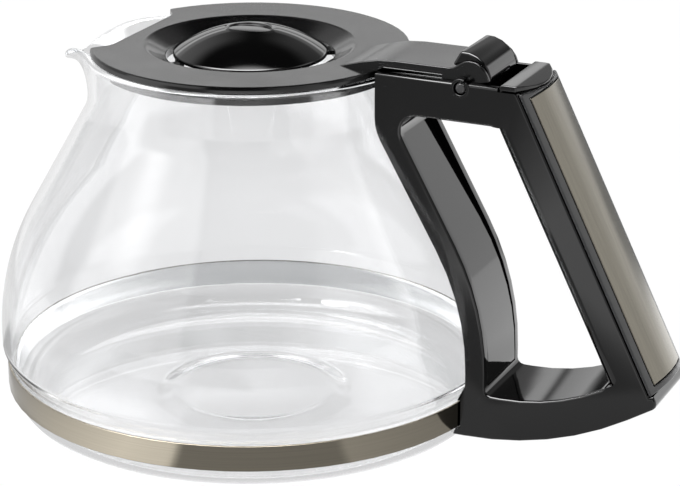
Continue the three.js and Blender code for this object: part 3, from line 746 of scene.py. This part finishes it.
@dataclass
class GlassJug:
    """Blown jug with a waist for the band, a conical shoulder, a short neck and a drawn spout."""

    shop: Workshop
    wall: float = 2.2
    body_r: float = 76.4
    body_z: float = 26.0
    shoulder_r: float = 74.0
    cone_angle: float = 29.2
    neck_r: float = 48.0
    neck_fillet: float = 14.0
    neck_h: float = 11.0
    heel_r: float = 11.0
    seat_depth: float = 2.4
    seat_top: float = 17.1
    seat_slope: float = 2.0
    boss_r: float = 29.6
    boss_slope: float = 5.2
    boss_h: float = 1.3
    boss_round: float = 11.5
    spout_reach: float = 13.5
    spout_dip: float = 9.3
    spout_h: float = 16.0
    spout_half_angle: float = 44.0
    reach_sharpness: float = 3.4
    dip_sharpness: float = 9.4
    reach_growth: float = 1.5
    dip_growth: float = 2.0
    facets: int = 192
    facet: float = 2.5
    neck_rings: int = 12
    lip_facets: int = 10
    guard: float = 0.8
    sharp: float = 60.0

    @property
    def cone_normal(self) -> Vector:
        """Direction square to the shoulder, in radius and height."""
        angle = math.radians(self.cone_angle)
        return Vector((math.cos(angle), math.sin(angle)))

    def cone_z(self, radius: float, offset: float) -> float:
        """Height of the shoulder's cone.

        Args:
            radius: Distance from the axis.
            offset: Distance outwards from the outer face.

        Returns:
            The height.
        """
        normal = self.cone_normal
        centre = Vector((self.body_r - self.shoulder_r, self.body_z))
        reach = normal.dot(centre) + self.shoulder_r
        return (reach + offset - radius * normal.x) / normal.y

    @property
    def neck_z(self) -> float:
        """Height where the neck becomes straight."""
        half = math.radians(self.cone_angle) / 2.0
        return self.cone_z(self.neck_r, 0.0) + self.neck_fillet * math.tan(half)

    @property
    def rim_z(self) -> float:
        """Height of the rim."""
        return self.neck_z + self.neck_h

    def side(self, offset: float) -> list[Vector]:
        """Outline of the glass from the axis to the neck.

        Args:
            offset: Distance outwards from the outer face.

        Returns:
            The points of the outline.
        """
        seat_r = self.body_r - self.seat_depth
        seat_out = self.seat_top + self.seat_slope * self.seat_depth
        body = self.body_r + offset
        neck = self.neck_r + offset
        corners = [
            Corner(0.0, self.boss_h - offset),
            Corner(self.boss_r - self.boss_slope, self.boss_h - offset, self.boss_round),
            Corner(self.boss_r, -offset, self.boss_round),
            Corner(seat_r + offset, -offset, self.heel_r + offset),
            Corner(seat_r + offset, self.seat_top, self.seat_depth),
            Corner(body, seat_out, self.seat_depth),
            Corner(body, self.cone_z(body, offset), self.shoulder_r + offset),
            Corner(neck, self.cone_z(neck, offset), self.neck_fillet - offset),
            Corner(neck, self.neck_z),
        ]
        return rounded(corners, closed=False, facet=self.facet)

    def profile(self) -> list[Vector]:
        """Section of the wall, from the middle of the foot to the middle of the floor.

        Returns:
            The points of the section.
        """
        lip_r = self.wall / 2.0
        lip = Vector((self.neck_r - lip_r, self.rim_z - lip_r))
        rise = lip.y - self.neck_z
        rings = self.neck_rings
        heights = [self.neck_z + rise * (i + 1) / rings for i in range(rings - 1)]
        outside = self.side(0.0) + [Vector((self.neck_r, z)) for z in heights]
        inside = self.side(-self.wall) + [Vector((self.neck_r - self.wall, z)) for z in heights]
        turns = [math.pi * i / self.lip_facets for i in range(self.lip_facets + 1)]
        rim = [lip + Vector((math.cos(a), math.sin(a))) * lip_r for a in turns]
        return guarded(outside + rim + inside[::-1], self.guard)

    def draw_spout(self, bm: Mesh) -> None:
        """Draws the lip of the spout out and down from the neck.

        Args:
            bm: Mesh of the plain jug.
        """
        foot = self.rim_z - self.spout_h
        half = math.radians(self.spout_half_angle)
        for vert in bm.verts:
            x, y, z = vert.co
            away = abs(math.atan2(y, -x)) / half
            rise = min(1.0, (z - foot) / self.spout_h)
            if away >= 1.0 or rise <= 0.0:
                continue
            swell = math.cos(away * math.pi / 2.0)
            reach = self.spout_reach * swell**self.reach_sharpness * rise**self.reach_growth
            drop = self.spout_dip * swell**self.dip_sharpness * rise**self.dip_growth
            out = 1.0 + reach / math.hypot(x, y)
            vert.co = (x * out, y * out, z - drop)

    def build(self) -> None:
        """Makes the jug."""
        bm = spun(self.profile(), self.facets, ring=False)
        self.draw_spout(bm)
        soften(bm, self.sharp)
        self.shop.piece("blown_jug", bm, Body.JUG, Slot.CLEAR_GLASS, ["glass_jug"])


@dataclass
class FootBand:
    """Metal strap round the foot of the glass, with the screw and nut that draw it tight."""

    shop: Workshop
    edge: Rounding = Rounding(0.18, turn=60.0)
    inward: float = -0.5

    def build(self) -> None:
        """Makes the band, whose inside is bare metal, and dresses its fasteners."""
        band = self.shop.refined("base_band", "foot_band", Body.JUG, Slot.CHAMPAGNE_BAND, self.edge)
        band.data.materials.append(self.shop.finishes.bare_inside)
        for face in band.data.polygons:
            outwards = Vector((face.center.x, face.center.y, 0.0)).normalized()
            face.material_index = int(face.normal.dot(outwards) < self.inward)
        for node in ("band_screw", "band_nut"):
            self.shop.finishes.dress(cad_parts[node], Slot.ZINC_FASTENER)


@dataclass
class Handle:
    """Moulded loop handle with its covers and the metal inlay."""

    shop: Workshop
    ring_edge: Rounding = Rounding(0.18, turn=60.0, sharp=50.0)
    cover_edge: Rounding = Rounding(0.35)
    cap_edge: Rounding = Rounding(0.35)
    bezel_edge: Rounding = Rounding(0.4)
    plate_edge: Rounding = Rounding(0.2)
    half_w: float = 14.0
    pin_x: float = 72.4
    pin_z: float = 111.64
    ring_proud: float = 0.3
    ring_r: float = 3.2

    def on_ring(self, edge: bmesh.types.BMEdge) -> bool:
        """Tells whether an edge lies on the face of a ring round the hinge pin.

        Args:
            edge: Edge of the loop.

        Returns:
            Whether both its ends do.
        """
        return all(
            abs(vert.co.y) > self.half_w + self.ring_proud
            and math.hypot(vert.co.x - self.pin_x, vert.co.z - self.pin_z) < self.ring_r
            for vert in edge.verts
        )

    def build(self) -> None:
        """Makes the pieces of the handle."""
        self.shop.refined(
            "handle_frame", "handle_loop", Body.JUG, Slot.BLACK_GLOSS, self.ring_edge, self.on_ring
        )
        rows = (
            ("finger_cover", "bar_cover", Slot.BLACK_GLOSS, self.cover_edge),
            ("handle_cap", "grip_cap", Slot.BLACK_GLOSS, self.cap_edge),
            ("grip_bezel", "grip_shell", Slot.DARK_GREY, self.bezel_edge),
            ("grip_plate", "grip_inlay", Slot.CHAMPAGNE_PLATE, self.plate_edge),
        )
        for node, name, slot, edge in rows:
            self.shop.refined(node, name, Body.JUG, slot, edge)


@dataclass
class InletDome:
    """Dome over the inlet of the lid, with a plain oval inset and tabs that snap under the dish."""

    shop: Workshop
    radius: float = 22.8
    top: float = 118.04
    edge: float = 110.84
    foot: float = 109.84
    wall: float = 1.6
    edge_round: float = 0.9
    hollow_lip: float = 0.1
    inset_long: float = 6.8
    inset_short: float = 4.8
    inset_depth: float = 0.85
    inset_draft: float = 0.3
    inset_round: float = 0.2
    rim_h: float = 0.12
    rim_in: float = 0.1
    rim_out: float = 0.4
    rim_clear: float = 1.0
    rim_in_round: float = 0.12
    rim_out_round: float = 0.3
    oval_reach: float = 2.0
    lift_margin: float = 0.2
    tab_w: float = 5.0
    tab_t: float = 1.2
    tab_low: float = 107.54
    tab_reach: float = 27.0
    tab_bite: float = 0.3
    tabs: int = 4
    facets: int = 128
    dome_rings: int = 24
    hollow_rings: int = 16
    sharp: float = 40.0

    @property
    def curve(self) -> float:
        """Radius of the dome's curve."""
        rise = self.top - self.edge
        return (self.radius**2 + rise**2) / (2.0 * rise)

    def height(self, radius: float, depth: float = 0.0) -> float:
        """Height of the dome at a radius, below its outer face by a depth."""
        curve = self.curve
        return self.top - curve + math.sqrt((curve - depth) ** 2 - radius**2)

    def profile(self) -> list[Vector]:
        """Section of the dome, from the middle of the inset to the middle of the hollow.

        Returns:
            The points of the section.
        """
        long = self.inset_long
        floor = self.top - self.inset_depth
        inner = self.radius - self.wall
        start = long + self.rim_clear
        crest = long + self.rim_out
        roof = self.foot + self.hollow_lip
        rings = self.dome_rings
        outside = [self.radius + (start - self.radius) * i / rings for i in range(rings, 0, -1)]
        hollow = [inner * i / self.hollow_rings for i in range(self.hollow_rings, -1, -1)]
        corners = [
            Corner(0.0, floor),
            Corner(long - self.inset_draft, floor, self.inset_round),
            Corner(long - self.rim_in, self.height(long) + self.rim_h, self.rim_in_round),
            Corner(crest, self.height(crest) + self.rim_h, self.rim_out_round),
        ]
        corners += [Corner(r, self.height(r)) for r in outside]
        corners += [
            Corner(self.radius, self.edge, self.edge_round),
            Corner(self.radius, self.foot),
            Corner(inner, self.foot),
        ]
        corners += [Corner(r, max(roof, self.height(r, self.wall))) for r in hollow]
        return rounded(corners, closed=False)

    def press_oval(self, bm: Mesh) -> None:
        """Turns the round inset into an oval.

        Args:
            bm: Mesh of the round dome.
        """
        slim = self.inset_short / self.inset_long
        reach = self.oval_reach * self.inset_long
        for vert in bm.verts:
            x, y, z = vert.co
            radius = math.hypot(x, y)
            if radius >= reach or z < self.height(radius, self.wall / 2.0):
                continue
            share = min(1.0, (reach - radius) / (reach - self.inset_long))
            flat = y * (1.0 - share * (1.0 - slim))
            lift = 0.0
            if radius > self.inset_long - self.lift_margin:
                lift = self.height(math.hypot(x, flat)) - self.height(radius)
            vert.co = (x, flat, z + lift)

    def add_tab(self, bm: Mesh, turn: float) -> None:
        """Adds one tab under the edge of the dome.

        Args:
            bm: Mesh of the dome.
            turn: Angle of the tab about the axis, in radians.
        """
        inner = self.radius - self.wall
        boxes = (
            (inner, self.radius - self.tab_bite, self.tab_low, self.foot + self.tab_bite),
            (inner, self.tab_reach, self.tab_low, self.tab_low + self.tab_t),
        )
        swing = Matrix.Rotation(turn, 4, "Z")
        for near, far, low, high in boxes:
            place = Matrix.Translation(((near + far) / 2.0, 0.0, (low + high) / 2.0))
            size = Matrix.Diagonal((far - near, self.tab_w, high - low, 1.0))
            bmesh.ops.create_cube(bm, size=1.0, matrix=swing @ place @ size)

    def build(self) -> None:
        """Makes the dome."""
        bm = spun(self.profile(), self.facets, ring=False)
        self.press_oval(bm)
        for i in range(self.tabs):
            self.add_tab(bm, (i + 0.5) * math.tau / self.tabs)
        soften(bm, self.sharp)
        self.shop.piece("inlet_dome", bm, Body.LID, Slot.BLACK_GLOSS, ["drip_dome"])


@dataclass
class Lid:
    """Hinged lid with its skirt, dome, thumb lever and pin."""

    shop: Workshop
    plate_edge: Rounding = Rounding(0.3, turn=55.0)
    skirt_edge: Rounding = Rounding(0.2, turn=55.0)
    lever_edge: Rounding = Rounding(0.7, turn=55.0)
    pin_edge: Rounding = Rounding(0.8, turn=55.0)
    slot_r: float = 25.0
    lip_play: float = 0.02
    lip_t: float = 0.7
    lip_top: float = 109.3
    lip_low: float = 107.0
    lip_round: float = 0.2
    lip_facets: int = 96
    lip_facet: float = 20.0
    lip_sharp: float = 40.0

    def add_lip(self) -> None:
        """Makes the lip that hangs below the edge of the dish, round the ring gap."""
        inner = self.slot_r + self.lip_play
        outer = self.slot_r + self.lip_t
        corners = [
            Corner(inner, self.lip_low, self.lip_round),
            Corner(outer, self.lip_low, self.lip_round),
            Corner(outer, self.lip_top),
            Corner(inner, self.lip_top),
        ]
        bm = spun(rounded(corners, facet=self.lip_facet), self.lip_facets, ring=True)
        soften(bm, self.lip_sharp)
        self.shop.piece("slot_lip", bm, Body.LID, Slot.BLACK_SATIN)

    def build(self) -> None:
        """Makes the pieces of the lid. Its collar is polished."""
        InletDome(self.shop).build()
        self.add_lip()
        rows = (
            ("lid_plate", "lid_top", Slot.BLACK_SATIN, self.plate_edge),
            ("lid_skirt", "lid_collar", Slot.BLACK_GLOSS, self.skirt_edge),
            ("thumb_lever", "lid_lever", Slot.BLACK_GLOSS, self.lever_edge),
            ("hinge_pin", "lid_pin", Slot.DARK_GREY, self.pin_edge),
        )
        made = {name: self.shop.refined(node, name, Body.LID, *rest) for node, name, *rest in rows}
        made["lid_collar"].data.materials[0] = self.shop.finishes.polished


@dataclass(frozen=True)
class Glow:
    """Soft-edged patch of light in the surroundings, in degrees.

    Bearings start on the camera's side and grow to its right. Heights are above the horizon.
    """

    bearing: float
    half: float
    soft: float
    low: float
    high: float
    fade: float
    level: float

    def light(self, graph: NodeGraph, facing: float, around: Socket, height: Socket) -> Socket:
        """Light that comes from a direction.

        Args:
            graph: Node tree of the surroundings.
            facing: Compass angle of the camera's side, in radians.
            around: Level direction of length one.
            height: Vertical share of the direction.

        Returns:
            The strength of the light.
        """
        outer = math.cos(math.radians(self.half + self.soft))
        inner = math.cos(math.radians(self.half - self.soft))
        near = graph.along(around, facing + math.radians(self.bearing))
        across = graph.step(near, outer, inner)
        rise = [math.sin(math.radians(self.low + side * self.fade)) for side in (-1.0, 1.0)]
        fall = [math.sin(math.radians(self.high + side * self.fade)) for side in (1.0, -1.0)]
        upright = graph.math("MULTIPLY", graph.step(height, *rise), graph.step(height, *fall))
        return graph.math("MULTIPLY", graph.math("MULTIPLY", across, upright), self.level)


@dataclass(frozen=True)
class TableZone:
    """Ring of the table about the jug's axis, as gloss sees it.

    It fades in between two radii in metres. Its stops are compass angles in degrees, with levels.
    """

    start: float
    full: float
    stops: Stops
    in_glass_only: bool = False


@dataclass
class Studio:
    """Pale floor, soft light and the camera at the photograph's angle.

    Shades are painted shade that the table shows through glass: by radius in metres, and by
    compass angle in degrees. The strip lamp leans in degrees, and its ends are shares of a
    direction.
    """

    eye: tuple[float, float, float] = (0.3304, -0.6551, 0.3166)
    heading: float = 24.7
    down: float = 19.97
    lens: float = 136.36
    sensor: float = 36.0
    sight: float = 50.0
    floor_half: float = 4.0
    floor_z: float = -0.0004
    floor_matt: Color = (0.03, 0.03, 0.03)
    shade_reach: float = 0.5
    # Painted shade on the table by radius from the jug's axis, seen only through the glass
    shades: Stops = (
        (0.0, 0.78), (0.03, 0.78), (0.038, 0.9), (0.056, 0.9), (0.064, 0.76),
        (0.09, 0.76), (0.11, 0.98), (0.2, 0.98), (0.33, 0.82), (0.5, 0.82),
    )
    # Painted shade on the table by compass angle, seen only through the glass
    side_shades: Stops = (
        (-180.0, 0.84), (-150.0, 1.0), (118.0, 1.0), (146.0, 0.84), (180.0, 0.84),
    )
    table_scale: float = 5.0
    table_zones: tuple[TableZone, ...] = (
        # Under the raised disc of the jug's floor
        TableZone(0.0, 0.0, ((-180.0, 1.0), (180.0, 1.0))),
        # Under the flat of the foot
        TableZone(0.029, 0.033, (
            (-180.0, 2.5), (101.0, 2.5), (105.0, 0.85), (124.0, 0.85), (128.0, 2.5), (180.0, 2.5),
        )),
        # Under the heel of the glass
        TableZone(0.06, 0.066, (
            (-180.0, 0.7), (0.0, 0.7), (40.0, 2.5), (150.0, 2.5), (180.0, 0.7),
        )),
        # Close round the jug
        TableZone(0.084, 0.09, (
            (-180.0, 0.4), (-164.0, 0.5), (-145.0, 0.85), (-102.0, 1.95), (-87.5, 1.75),
            (-85.0, 0.46), (-39.0, 0.42), (-36.5, 0.72), (0.0, 0.5), (12.0, 1.4), (70.0, 1.4),
            (180.0, 0.7),
        )),
        # Further out
        TableZone(0.12, 0.17, (
            (-180.0, 0.8), (-150.0, 1.7), (-128.0, 1.6), (-119.0, 0.36), (-96.0, 0.42),
            (-84.0, 1.6), (-58.0, 1.55), (-40.0, 0.8), (0.0, 1.2), (50.0, 1.9), (60.0, 1.9),
            (68.0, 0.35), (98.0, 0.3), (118.0, 0.8), (150.0, 0.7), (180.0, 0.8),
        )),
        # Up to the horizon
        TableZone(0.24, 0.28, (
            (-180.0, 1.2), (-150.0, 2.4), (-91.0, 2.4), (-87.0, 0.15), (-22.0, 0.15),
            (-18.0, 1.8), (30.0, 1.8), (70.0, 0.8), (180.0, 1.1),
        ), in_glass_only=True),
    )
    ceiling: float = 0.04
    glass_ceiling: float = 0.6
    strip_from: float = -3.0
    strip_to: float = 33.0
    strip_soft: float = 9.0
    strip_left: float = -0.72
    strip_right: float = 0.3
    strip_fade: float = 0.2
    strip_level: float = 24.0
    glows: tuple[Glow, ...] = (
        # Tall lights at the left
        Glow(-62.0, 31.0, 3.0, -30.0, 45.0, 8.0, 1.5),
        Glow(-100.0, 40.0, 30.0, -30.0, 45.0, 8.0, 0.7),
        # Tall lights at the right
        Glow(36.0, 18.0, 8.0, -8.0, 30.0, 6.0, 0.8),
        Glow(60.0, 18.0, 6.0, -30.0, 40.0, 8.0, 0.4),
        Glow(95.0, 17.0, 7.0, -30.0, 36.0, 8.0, 1.7),
        # Low lights behind, which the lid and the handle show
        Glow(136.0, 20.0, 7.0, -2.0, 15.0, 2.0, 1.8),
        Glow(180.0, 34.0, 8.0, 14.5, 19.0, 1.0, 1.35),
        Glow(180.0, 34.0, 8.0, 14.5, 25.0, 2.0, 0.4),
        Glow(180.0, 38.0, 8.0, 3.0, 12.8, 1.5, 1.2),
        # High lights behind, to both sides
        Glow(142.0, 25.0, 12.0, 17.0, 46.0, 8.0, 0.28),
        Glow(-142.0, 25.0, 12.0, 17.0, 46.0, 8.0, 0.4),
    )

    def camera(self) -> None:
        """Makes the camera."""
        data = bpy.data.cameras.new("photo_camera")
        data.sensor_fit = "HORIZONTAL"
        data.sensor_width = self.sensor
        data.lens = self.lens
        data.clip_end = self.sight
        data.dof.use_dof = False
        made = bpy.data.objects.new("photo_camera", data)
        bpy.context.scene.collection.objects.link(made)
        made.location = self.eye
        made.rotation_euler = (math.radians(90.0 - self.down), 0.0, math.radians(self.heading))
        bpy.context.scene.camera = made

    def table_with_painted_shade(self, graph: NodeGraph) -> Socket:
        """Colour of the table: white, with painted shade where it is seen through the glass.

        Args:
            graph: Node tree of the floor.

        Returns:
            The colour output.
        """
        turn, radius = graph.polar()
        reach = self.shade_reach
        rings = [(place / reach, level) for place, level in self.shades]
        shade = graph.greys(graph.math("DIVIDE", radius, reach), rings)
        painted_shade = graph.add("ShaderNodeVectorMath", operation="MULTIPLY")
        graph.join(shade, painted_shade.inputs[0])
        graph.join(graph.compass(turn, self.side_shades), painted_shade.inputs[1])
        # Painted shade only for rays that came through the glass, white for all others
        return graph.blend(graph.past("Transmission Depth"), WHITE, painted_shade.outputs["Vector"])

    def table_glow(self, graph: NodeGraph) -> Socket:
        """Light of the table, zone by zone, as gloss sees it.

        Args:
            graph: Node tree of the floor.

        Returns:
            The shader output.
        """
        turn, radius = graph.polar()
        in_glass = graph.past("Transmission Depth")
        middle, *rings = self.table_zones
        shown = graph.compass(turn, middle.stops, self.table_scale)
        for zone in rings:
            share = graph.step(radius, zone.start, zone.full)
            if zone.in_glass_only:
                share = graph.math("MULTIPLY", share, in_glass)
            levels = graph.compass(turn, zone.stops, self.table_scale)
            shown = graph.blend(share, shown, levels)
        glow = graph.add("ShaderNodeEmission", {"Strength": self.table_scale})
        graph.join(shown, glow.inputs["Color"])
        return glow.outputs["Emission"]

    def floor(self) -> None:
        """Makes the floor, which reads white, with painted shade where it is seen through the
        glass.
        """
        bm = bmesh.new()
        bmesh.ops.create_grid(bm, x_segments=1, y_segments=1, size=self.floor_half)
        bmesh.ops.translate(bm, vec=(0.0, 0.0, self.floor_z), verts=bm.verts[:])
        data = bpy.data.meshes.new("pale_floor")
        bm.to_mesh(data)
        bm.free()
        made = bpy.data.objects.new("pale_floor", data)
        bpy.context.scene.collection.objects.link(made)
        graph = NodeGraph(bpy.data.materials.new("pale_floor"))
        matt = graph.add("ShaderNodeBsdfDiffuse", {"Color": (*self.floor_matt, 1.0)})
        glow = graph.add("ShaderNodeEmission")
        graph.join(self.table_with_painted_shade(graph), glow.inputs["Color"])
        lit = graph.add("ShaderNodeAddShader")
        graph.join(matt.outputs["BSDF"], lit.inputs[0])
        graph.join(glow.outputs["Emission"], lit.inputs[1])
        in_gloss = graph.past("Glossy Depth")
        graph.show(graph.choose(in_gloss, lit.outputs["Shader"], self.table_glow(graph)))
        data.materials.append(graph.owner)

    def strip_lamp(self, graph: NodeGraph, direction: Socket, up: Socket, facing: float) -> Socket:
        """Light of the strip lamp overhead, which only gloss shows.

        Args:
            graph: Node tree of the surroundings.
            direction: Direction that the light comes from.
            up: Vertical share of the direction.
            facing: Compass angle of the camera's side, in radians.

        Returns:
            The strength of the light.
        """
        lean = graph.math("ARCTAN2", graph.along(direction, facing), up)
        side = graph.along(direction, facing + math.pi / 2.0)
        start, stop = math.radians(self.strip_from), math.radians(self.strip_to)
        soft, fade = math.radians(self.strip_soft), self.strip_fade
        edges = (
            graph.step(lean, start - soft, start + soft),
            graph.step(lean, stop + soft, stop - soft),
            graph.step(side, self.strip_left - fade, self.strip_left + fade),
            graph.step(side, self.strip_right + fade, self.strip_right - fade),
        )
        in_gloss = graph.add("ShaderNodeLightPath").outputs["Is Glossy Ray"]
        strip = graph.math("MULTIPLY", in_gloss, self.strip_level)
        for edge in edges:
            strip = graph.math("MULTIPLY", edge, strip)
        return strip

    def surroundings(self) -> None:
        """Makes a dim room with soft patches of light and a strip lamp overhead."""
        world = bpy.data.worlds.new("studio")
        graph = NodeGraph(world, "ShaderNodeOutputWorld")
        direction = graph.add("ShaderNodeTexCoord").outputs["Generated"]
        split = graph.add("ShaderNodeSeparateXYZ")
        graph.join(direction, split.inputs["Vector"])
        up = split.outputs["Z"]
        level = graph.add("ShaderNodeVectorMath", operation="MULTIPLY")
        level.inputs[1].default_value = (1.0, 1.0, 0.0)
        graph.join(direction, level.inputs[0])
        around = graph.add("ShaderNodeVectorMath", operation="NORMALIZE")
        graph.join(level.outputs["Vector"], around.inputs[0])
        facing = math.radians(self.heading - 90.0)
        extra = graph.math("MULTIPLY", graph.past("Transmission Depth"), self.glass_ceiling)
        overhead = graph.math("ADD", extra, self.ceiling)
        total = graph.math("ADD", self.strip_lamp(graph, direction, up, facing), overhead)
        for glow in self.glows:
            light = glow.light(graph, facing, around.outputs["Vector"], up)
            total = graph.math("ADD", total, light)
        sky = graph.add("ShaderNodeBackground")
        graph.join(total, sky.inputs["Strength"])
        graph.show(sky.outputs["Background"])
        bpy.context.scene.world = world

    def build(self) -> None:
        """Sets up the whole studio."""
        scene = bpy.context.scene
        scene.view_settings.view_transform = "Standard"
        scene.view_settings.look = "None"
        self.camera()
        self.floor()
        self.surroundings()


def main() -> None:
    """Builds the dressed carafe and its studio."""
    logging.basicConfig(level=logging.INFO, format="%(name)s: %(message)s")
    shop = Workshop(Finishes())
    for assembly in (GlassJug, FootBand, Handle, Lid):
        assembly(shop).build()
    Studio().build()


if __name__ == "__main__":
    main()
